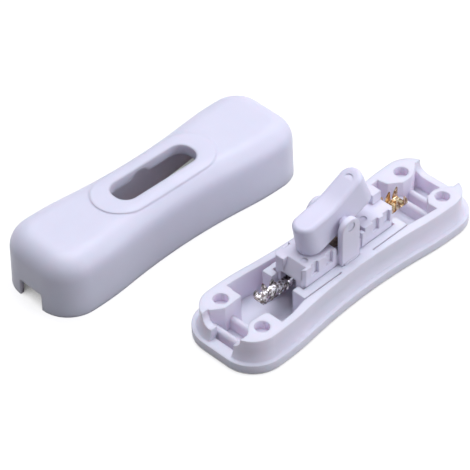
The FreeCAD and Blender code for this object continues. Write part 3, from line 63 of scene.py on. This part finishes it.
def add_camera():
    right = Vector((math.cos(TURN), -math.sin(TURN), 0))
    ahead = Vector((math.sin(TURN), math.cos(TURN), 0))
    up = Vector((0, 0, 1))
    forward = ahead * math.cos(PITCH) - up * math.sin(PITCH)
    upward = ahead * math.sin(PITCH) + up * math.cos(PITCH)
    side = right * math.cos(ROLL) + upward * math.sin(ROLL)
    top = upward * math.cos(ROLL) - right * math.sin(ROLL)
    data = bpy.data.cameras.new("camera")
    data.lens = LENS
    data.sensor_width = SENSOR
    data.clip_start = CLIP_START
    data.clip_end = CLIP_END
    camera = bpy.data.objects.new("camera", data)
    bpy.context.collection.objects.link(camera)
    turn = Matrix((side, top, -forward)).transposed().to_4x4()
    camera.matrix_world = Matrix.Translation(TARGET - forward * DISTANCE) @ turn
    bpy.context.scene.camera = camera


# Colours of the moulded plastics: open faces of cover and rocker; of base and insert, a lighter
# copy as painted light; and painted shade for the crevices of the cover, of the insert and of the
# base

LAVENDER = (0.85, 0.835, 0.99, 1)
# Painted light: base and insert take a lighter copy of the same plastic, for the brighter light
# they catch
PALE_PAINTED_LIGHT = (0.88, 0.862, 0.98, 1)
# Painted shade: the darker colours that crevices take
ROSE_PAINTED_SHADE = (1.0, 0.74, 0.84, 1)
MAUVE_PAINTED_SHADE = (0.7, 0.66, 0.76, 1)
VEIL_PAINTED_SHADE = (0.84, 0.79, 0.88, 1)

# Surface of the plastics: slight cloud in colour and gloss, fine grain, soft edges

PLASTIC_IOR = 1.46
NOISE_SPAN = (0.3, 0.7)
CLOUD_SCALE = 90.0
CLOUD_SHADE = 0.975
GLOSS_SCALE = 260.0
GLOSS_UNDER = 0.04
GLOSS_OVER = 0.05
GRAIN_SCALE = 2600.0
GRAIN_DETAIL = 2.0
GRAIN_SHARE = 0.25
GRAIN_DEPTH = 0.00002
EDGE_RADIUS = 0.0005
SHELL_EDGE = 0.001
EDGE_SAMPLES = 4

# How far a crevice reaches and how much of it counts as deep, for the painted shade in crevices

CREVICE_REACH = 0.01
CREVICE_SPAN = (0.02, 0.55)
BASE_SPAN = (0.02, 0.7)
CREVICE_SAMPLES = 8

# Light under the skin of the plastics, more in the thin shells of base and cover

GLOW_COLOUR = (1.0, 0.68, 0.72)
GLOW_REACH = 0.0012
GLOW_SHARE = 0.25
SHELL_REACH = 0.0032
SHELL_SHARE = 0.5

# Tool marks, painted dark reflections and dents of the stamped metals

MARK_SCALE = 900.0
TIN_SCALE = 1200.0
MARK_DETAIL = 3.0
MARK_ROUGHNESS = 0.6
MARK_SPAN = (0.44, 0.56)
DENT_RATIO = 3
DENT_DETAIL = 2.0
DENT_SHARE = 0.5
DENT_DEPTH = 0.00004

# Metals: colour, colour of the marks and painted dark reflections, roughness

SPRING_STEEL = ((0.6, 0.6, 0.6, 1), (0.45, 0.45, 0.45, 1), 0.3)
# Painted shade: the rocking contact's bronze is darkened for the shaded well it lies in
BRONZE_PAINTED_SHADE = ((0.24, 0.18, 0.15, 1), (0.16, 0.12, 0.1, 1), 0.5)
SILVER = ((0.86, 0.85, 0.82, 1), (0.7, 0.69, 0.66, 1), 0.28)
TIN = ((0.86, 0.84, 0.84, 1), (0.2, 0.17, 0.16, 1), 0.27)
BRASS = ((1.0, 0.84, 0.56, 1), (0.36, 0.17, 0.05, 1), 0.22)

# Roughness of the plastics

SHELL_ROUGHNESS = 0.38
INSERT_ROUGHNESS = 0.42
ROCKER_ROUGHNESS = 0.36
PLUNGER_ROUGHNESS = 0.45
PLUNGER_SHADE = 0.9


class Nodes:
    """A material's node tree with a principled shader."""

    def __init__(self, name):
        self.material = bpy.data.materials.new(name)
        self.material.use_nodes = True
        self.tree = self.material.node_tree
        self.shader = self.tree.nodes["Principled BSDF"]
        self.place = self.add("ShaderNodeTexCoord").outputs["Object"]

    def add(self, kind, **inputs):
        node = self.tree.nodes.new(kind)
        for name, value in inputs.items():
            socket = node.inputs[name.replace("_", " ")]
            if isinstance(value, bpy.types.NodeSocket):
                self.tree.links.new(value, socket)
            else:
                socket.default_value = value
        return node

    def set(self, **values):
        for name, value in values.items():
            self.shader.inputs[name.replace("_", " ")].default_value = value

    def link(self, start, name):
        self.tree.links.new(start, self.shader.inputs[name])

    def noise(self, scale, detail=3.0, roughness=0.55):
        return self.add("ShaderNodeTexNoise", Vector=self.place, Scale=scale, Detail=detail,
                        Roughness=roughness).outputs["Fac"]

    def ramp(self, value, low, high, low_colour, high_colour):
        node = self.add("ShaderNodeValToRGB", Fac=value)
        for stop, place, colour in zip(node.color_ramp.elements, (low, high),
                                       (low_colour, high_colour)):
            stop.position = place
            stop.color = colour
        return node.outputs["Color"]

    def mix(self, factor, first, second):
        node = self.tree.nodes.new("ShaderNodeMixRGB")
        for name, value in (("Fac", factor), ("Color1", first), ("Color2", second)):
            if isinstance(value, bpy.types.NodeSocket):
                self.tree.links.new(value, node.inputs[name])
            else:
                node.inputs[name].default_value = value
        return node.outputs["Color"]

    def openness(self, reach):
        """From 0 in a deep crevice to 1 on an open face."""
        node = self.add("ShaderNodeAmbientOcclusion", Distance=reach)
        node.samples = CREVICE_SAMPLES
        return node.outputs["AO"]

    def relief(self, value, strength, distance, edge=0.0):
        """Bump, on normals that are rounded at the edges where an edge radius is given."""
        bump = self.add("ShaderNodeBump", Strength=strength, Distance=distance, Height=value)
        if edge:
            bevel = self.add("ShaderNodeBevel", Radius=edge)
            bevel.samples = EDGE_SAMPLES
            self.tree.links.new(bevel.outputs["Normal"], bump.inputs["Normal"])
        self.link(bump.outputs["Normal"], "Normal")


def shade(colour, factor):
    return tuple(channel * factor for channel in colour[:3]) + (1,)


def grey(level):
    return (level, level, level, 1)


def plastic(name, colour, crevice_shade, roughness, share=GLOW_SHARE, reach=GLOW_REACH, edge=EDGE_RADIUS,
            span=CREVICE_SPAN):
    """Moulded plastic, with painted shade in a darker colour where its crevices are deep."""
    nodes = Nodes(name)
    cloud = nodes.ramp(nodes.noise(CLOUD_SCALE), *NOISE_SPAN, shade(colour, CLOUD_SHADE), colour)
    # Painted shade: crevices found by ambient occlusion take the darker colour
    open_face = nodes.ramp(nodes.openness(CREVICE_REACH), *span, grey(0), grey(1))
    nodes.link(nodes.mix(open_face, crevice_shade, cloud), "Base Color")
    gloss = nodes.ramp(nodes.noise(GLOSS_SCALE), *NOISE_SPAN, grey(roughness - GLOSS_UNDER),
                       grey(roughness + GLOSS_OVER))
    nodes.link(gloss, "Roughness")
    nodes.relief(nodes.noise(GRAIN_SCALE, GRAIN_DETAIL), GRAIN_SHARE, GRAIN_DEPTH, edge)
    nodes.set(IOR=PLASTIC_IOR, Subsurface_Weight=share, Subsurface_Scale=reach,
              Subsurface_Radius=GLOW_COLOUR)
    return nodes.material


def metal(name, colour, dark_marks_and_reflection, roughness, scale=MARK_SCALE):
    """Stamped strip: bright, with random dark patches that are tool marks and tarnish and also
    painted dark reflections.
    """
    nodes = Nodes(name)
    noise = nodes.noise(scale, MARK_DETAIL, MARK_ROUGHNESS)
    # Painted reflection: random dark patches, partly tool marks and tarnish, partly painted dark
    # reflections
    marks_and_painted_reflection = nodes.ramp(noise, *MARK_SPAN, dark_marks_and_reflection, colour)
    nodes.link(marks_and_painted_reflection, "Base Color")
    nodes.relief(nodes.noise(scale * DENT_RATIO, DENT_DETAIL), DENT_SHARE, DENT_DEPTH)
    nodes.set(Metallic=1.0, Roughness=roughness)
    return nodes.material


def paint(node, material):
    mesh = NODES[node].data
    mesh.materials.clear()
    mesh.materials.append(material)
    for polygon in mesh.polygons:
        polygon.material_index = 0


# Floor, backdrop and light

FLOOR_SIZE = 3.0
FLOOR_GREY = 0.3
FLOOR_GLOW = 0.82
FLOOR_ROUGHNESS = 0.9
FLOOR_DROP = 0.00002
# Painted shadow: how far and how strongly the floor's glow fades near the object
PAINTED_SHADOW_REACH = 0.02
PAINTED_SHADOW_SPAN = (0.05, 0.5)
WORLD = 0.45
WORLD_WAY = (0.88, -0.2, 0.4)
WORLD_DIM = 0.2
WORLD_BRIGHT = 1.3
COOL = (0.9, 0.905, 1.0)
# Lamps: place, size, power
OVERHEAD = ((0.2, 0.25, 1.3), 0.9, 11.2)
SIDE = ((0.17, -0.25, 0.16), 0.2, 0.35)


def add_floor():
    """A white floor that keeps the object's shadow, with a painted shadow where its glow fades
    under and beside the object.
    """
    mesh = bpy.data.meshes.new("floor")
    corners = [(-1, -1), (1, -1), (1, 1), (-1, 1)]
    mesh.from_pydata([(x * FLOOR_SIZE, y * FLOOR_SIZE, -FLOOR_DROP) for x, y in corners], [],
                     [(0, 1, 2, 3)])
    floor = bpy.data.objects.new("floor", mesh)
    bpy.context.collection.objects.link(floor)
    nodes = Nodes("floor")
    nodes.set(Base_Color=grey(FLOOR_GREY), Roughness=FLOOR_ROUGHNESS, Specular_IOR_Level=0.0)
    rays = nodes.tree.nodes.new("ShaderNodeLightPath")
    seen = nodes.tree.nodes.new("ShaderNodeMath")
    seen.operation = "MAXIMUM"
    nodes.tree.links.new(rays.outputs["Is Camera Ray"], seen.inputs[0])
    nodes.tree.links.new(rays.outputs["Is Glossy Ray"], seen.inputs[1])
    # Painted shadow: the floor's glow fades under and beside the object
    glow_with_painted_shadow = nodes.ramp(nodes.openness(PAINTED_SHADOW_REACH), *PAINTED_SHADOW_SPAN, grey(0), grey(FLOOR_GLOW))
    nodes.link(glow_with_painted_shadow, "Emission Color")
    nodes.link(seen.outputs[0], "Emission Strength")
    mesh.materials.append(nodes.material)


def add_lamp(name, place, size, power):
    data = bpy.data.lights.new(name, "AREA")
    data.shape = "SQUARE"
    data.size = size
    data.energy = power
    data.color = COOL
    lamp = bpy.data.objects.new(name, data)
    lamp.location = place
    lamp.rotation_euler = (TARGET - Vector(place)).to_track_quat("-Z", "Y").to_euler()
    bpy.context.collection.objects.link(lamp)


def add_world():
    """Cool light that is brighter from the right; the camera sees white."""
    world = bpy.data.worlds.new("studio")
    world.use_nodes = True
    tree = world.node_tree
    light = tree.nodes["Background"]
    light.inputs["Color"].default_value = (*COOL, 1)
    way = tree.nodes.new("ShaderNodeVectorMath")
    way.operation = "DOT_PRODUCT"
    way.inputs[1].default_value = WORLD_WAY
    place = tree.nodes.new("ShaderNodeTexCoord")
    tree.links.new(place.outputs["Generated"], way.inputs[0])
    level = tree.nodes.new("ShaderNodeMapRange")
    for name, value in (("From Min", -1), ("To Min", WORLD * WORLD_DIM),
                        ("To Max", WORLD * WORLD_BRIGHT)):
        level.inputs[name].default_value = value
    tree.links.new(way.outputs["Value"], level.inputs["Value"])
    tree.links.new(level.outputs["Result"], light.inputs["Strength"])
    white = tree.nodes.new("ShaderNodeBackground")
    white.inputs["Color"].default_value = grey(1)
    white.inputs["Strength"].default_value = 1.0
    rays = tree.nodes.new("ShaderNodeLightPath")
    mix = tree.nodes.new("ShaderNodeMixShader")
    tree.links.new(rays.outputs["Is Camera Ray"], mix.inputs["Fac"])
    tree.links.new(light.outputs[0], mix.inputs[1])
    tree.links.new(white.outputs[0], mix.inputs[2])
    tree.links.new(mix.outputs[0], tree.nodes["World Output"].inputs["Surface"])
    bpy.context.scene.world = world


def add_studio():
    add_floor()
    add_world()
    add_lamp("overhead", *OVERHEAD)
    add_lamp("side", *SIDE)


# Crimp terminals, stamped from strip, each bent by hand in its own way

MILLIMETRE = 0.001
SHEET = 0.00042
STRIP_HALF = 0.0018
STRIP_EDGE = SHEET / 8
BARREL_LIFT = 0.0002
TAPER = 0.00085
CLAWS = 3
CLAW_PITCH = 0.0028
CLAW_WIDTH = 0.0017
CLAW_BOW = 0.00015
# Steps of a claw: share of its height, share of its width
CLAW_STEPS = ((0.35, 0.92), (0.72, 0.55))
# Points across the strip, and across the root of a claw
ACROSS = (-1.0, -0.6, 0.0, 0.6, 1.0)
ROOT = (0, 0.5, 1)
# Start of the barrel along X
LEFT_BARREL = 0.0192
RIGHT_BARREL = 0.0180
TAB = 0.0008
TAB_EDGE = SHEET / 5
# Tips of the claws: place along X, height and lean outward, in millimetres
LEFT_REAR = ((20.1, 10.3, 0.0), (23.2, 10.9, 0.1), (25.7, 10.3, 0.1))
LEFT_NEAR = ((19.6, 10.9, 0.0), (22.2, 11.2, 0.0), (25.1, 11.9, 0.0))
RIGHT_REAR = ((19.6, 11.8, 0.0), (22.4, 11.8, 0.0), (25.3, 11.6, 0.1))
RIGHT_NEAR = ((18.7, 11.5, 0.0), (21.0, 12.0, 0.0), (24.0, 11.5, 0.0))
# Near edge of the left strip beside the insert: start along X and top of its flap
LEFT_FLAP = (0.0166, 0.0109)


def claw(mesh, roots, tip, out):
    """A pointed claw over three root points, bowed outward."""
    middle = roots[1].co.copy()
    half = (roots[2].co - roots[0].co) / 2
    bow = Vector((0, out * CLAW_BOW, 0))
    row = roots
    for share, width in CLAW_STEPS:
        centre = middle.lerp(tip, share) + bow * 4 * share * (1 - share)
        fresh = [mesh.verts.new(centre - half * width),
                 mesh.verts.new(centre + bow),
                 mesh.verts.new(centre + half * width)]
        for index in range(2):
            mesh.faces.new((row[index], row[index + 1], fresh[index + 1], fresh[index]))
        row = fresh
    mesh.faces.new((row[0], row[1], row[2], mesh.verts.new(tip)))


def add_piece(name, mesh, material, node, body="housing"):
    """A piece of the scene in the place of a node."""
    data = bpy.data.meshes.new(name)
    bmesh.ops.recalc_face_normals(mesh, faces=mesh.faces)
    mesh.to_mesh(data)
    mesh.free()
    data.materials.append(material)
    piece = bpy.data.objects.new(name, data)
    bpy.context.collection.objects.link(piece)
    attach(piece, body)
    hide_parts(node)
    return piece


def flap(mesh, feet, top):
    """An upright flap along the edge of the strip."""
    crest = [mesh.verts.new((foot.co.x, foot.co.y, top)) for foot in feet]
    for index in range(len(feet) - 1):
        mesh.faces.new((feet[index], feet[index + 1], crest[index + 1], crest[index]))


def strip(name, node, side, inner, barrel, tips, material, neck=None):
    """The strip on the insert's floor with its U barrel and three pairs of claws."""
    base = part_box(node)[0][2] + SHEET / 2
    roots = [barrel + CLAW_PITCH * index + CLAW_WIDTH * part
             for index in range(CLAWS) for part in ROOT]
    mesh = bmesh.new()
    rows = []
    necks = [neck[0]] if neck else []
    for x in [inner * side, *necks, barrel - TAPER, *roots]:
        lift = 0 if x < barrel else BARREL_LIFT
        rows.append([mesh.verts.new((x * side, way * STRIP_HALF, base + lift * way * way))
                     for way in ACROSS])
    for here, there in zip(rows, rows[1:]):
        for index in range(len(ACROSS) - 1):
            mesh.faces.new((here[index], here[index + 1], there[index + 1], there[index]))
    for edge, out, row in ((0, -1, tips[1]), (-1, 1, tips[0])):
        for index, (x, height, lean) in enumerate(row):
            first = len(rows) - len(roots) + index * len(ROOT)
            tip = Vector((x * side, out * lean, height)) * MILLIMETRE
            tip.y += out * STRIP_HALF
            claw(mesh, [rows[first + part][edge] for part in range(len(ROOT))], tip, out)
    if neck:
        flap(mesh, [row[0] for row in rows[1:3]], neck[1])
    piece = add_piece(name, mesh, material, node)
    for polygon in piece.data.polygons:
        polygon.use_smooth = True
    smooth = piece.modifiers.new("smooth", "SUBSURF")
    smooth.levels = smooth.render_levels = 2
    smooth.boundary_smooth = "PRESERVE_CORNERS"
    sheet = piece.modifiers.new("sheet", "SOLIDIFY")
    sheet.thickness = SHEET
    sheet.offset = 0
    edge = piece.modifiers.new("edge", "BEVEL")
    edge.width = STRIP_EDGE
    edge.segments = 2


def build_terminals(tin, brass):
    strip("line_terminal_strip", "line_terminal", -1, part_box("line_terminal")[1][0], LEFT_BARREL,
          (LEFT_REAR, LEFT_NEAR), tin, LEFT_FLAP)
    strip("load_terminal_strip", "load_terminal", 1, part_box("load_terminal")[0][0], RIGHT_BARREL,
          (RIGHT_REAR, RIGHT_NEAR), brass)
    add_tab(tin)


def add_tab(material):
    """The knife edge that the rocking strip stands on."""
    low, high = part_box("line_terminal")
    east = high[0]
    west = east - TAB
    foot, crest = low[2] + SHEET / 2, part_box("rocking_contact")[0][2]
    mesh = bmesh.new()
    shoulder = crest - TAB
    profile = [(west, foot), (east, foot), (east, shoulder), ((west + east) / 2, crest - TAB / 2),
               (west, shoulder)]
    ends = [[mesh.verts.new((x, y, z)) for x, z in profile] for y in (-STRIP_HALF, STRIP_HALF)]
    for end in ends:
        mesh.faces.new(end)
    for index in range(len(profile)):
        after = (index + 1) % len(profile)
        mesh.faces.new((ends[0][index], ends[0][after], ends[1][after], ends[1][index]))
    tab = add_piece("line_terminal_tab", mesh, material, "line_terminal")
    edge = tab.modifiers.new("edge", "BEVEL")
    edge.width = TAB_EDGE
    edge.segments = 2


# The plunger's coil spring


def add_coil(material):
    source = NODES["plunger_spring"]
    mesh = bmesh.new()
    mesh.from_mesh(source.data)
    mesh.transform(source.matrix_world)
    coil = add_piece("plunger_coil", mesh, material, "plunger_spring", "rocker")
    for polygon in coil.data.polygons:
        polygon.use_smooth = True
    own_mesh(coil)


def paint_plastics():
    base = plastic("base_plastic_painted_light_shade", PALE_PAINTED_LIGHT, VEIL_PAINTED_SHADE, SHELL_ROUGHNESS, SHELL_SHARE, SHELL_REACH,
                   span=BASE_SPAN)
    cover = plastic("cover_plastic_painted_shade", LAVENDER, ROSE_PAINTED_SHADE, SHELL_ROUGHNESS, SHELL_SHARE, SHELL_REACH,
                    edge=SHELL_EDGE)
    unit = plastic("unit_plastic_painted_light_shade", PALE_PAINTED_LIGHT, MAUVE_PAINTED_SHADE, INSERT_ROUGHNESS)
    rocker = plastic("rocker_plastic_painted_shade", LAVENDER, MAUVE_PAINTED_SHADE, ROCKER_ROUGHNESS)
    plunger = plastic("plunger_plastic_painted_shade", shade(LAVENDER, PLUNGER_SHADE), MAUVE_PAINTED_SHADE, PLUNGER_ROUGHNESS)
    for node, material in (("base", base), ("cover", cover), ("insert_body", unit),
                           ("insert_floor", unit), ("rocker", rocker), ("plunger", plunger)):
        paint(node, material)


def paint_contacts():
    silver = metal("contact_silver", *SILVER)
    # The bronze rocking contact carries painted shade
    paint("rocking_contact", metal("contact_bronze_painted_shade", *BRONZE_PAINTED_SHADE))
    paint("moving_contact", silver)
    paint("fixed_contact", silver)


add_camera()
add_studio()
paint_plastics()
paint_contacts()
add_coil(metal("spring_steel", *SPRING_STEEL))
build_terminals(metal("tin", *TIN, TIN_SCALE), metal("brass", *BRASS))

bpy.context.scene.view_settings.view_transform = "Standard"
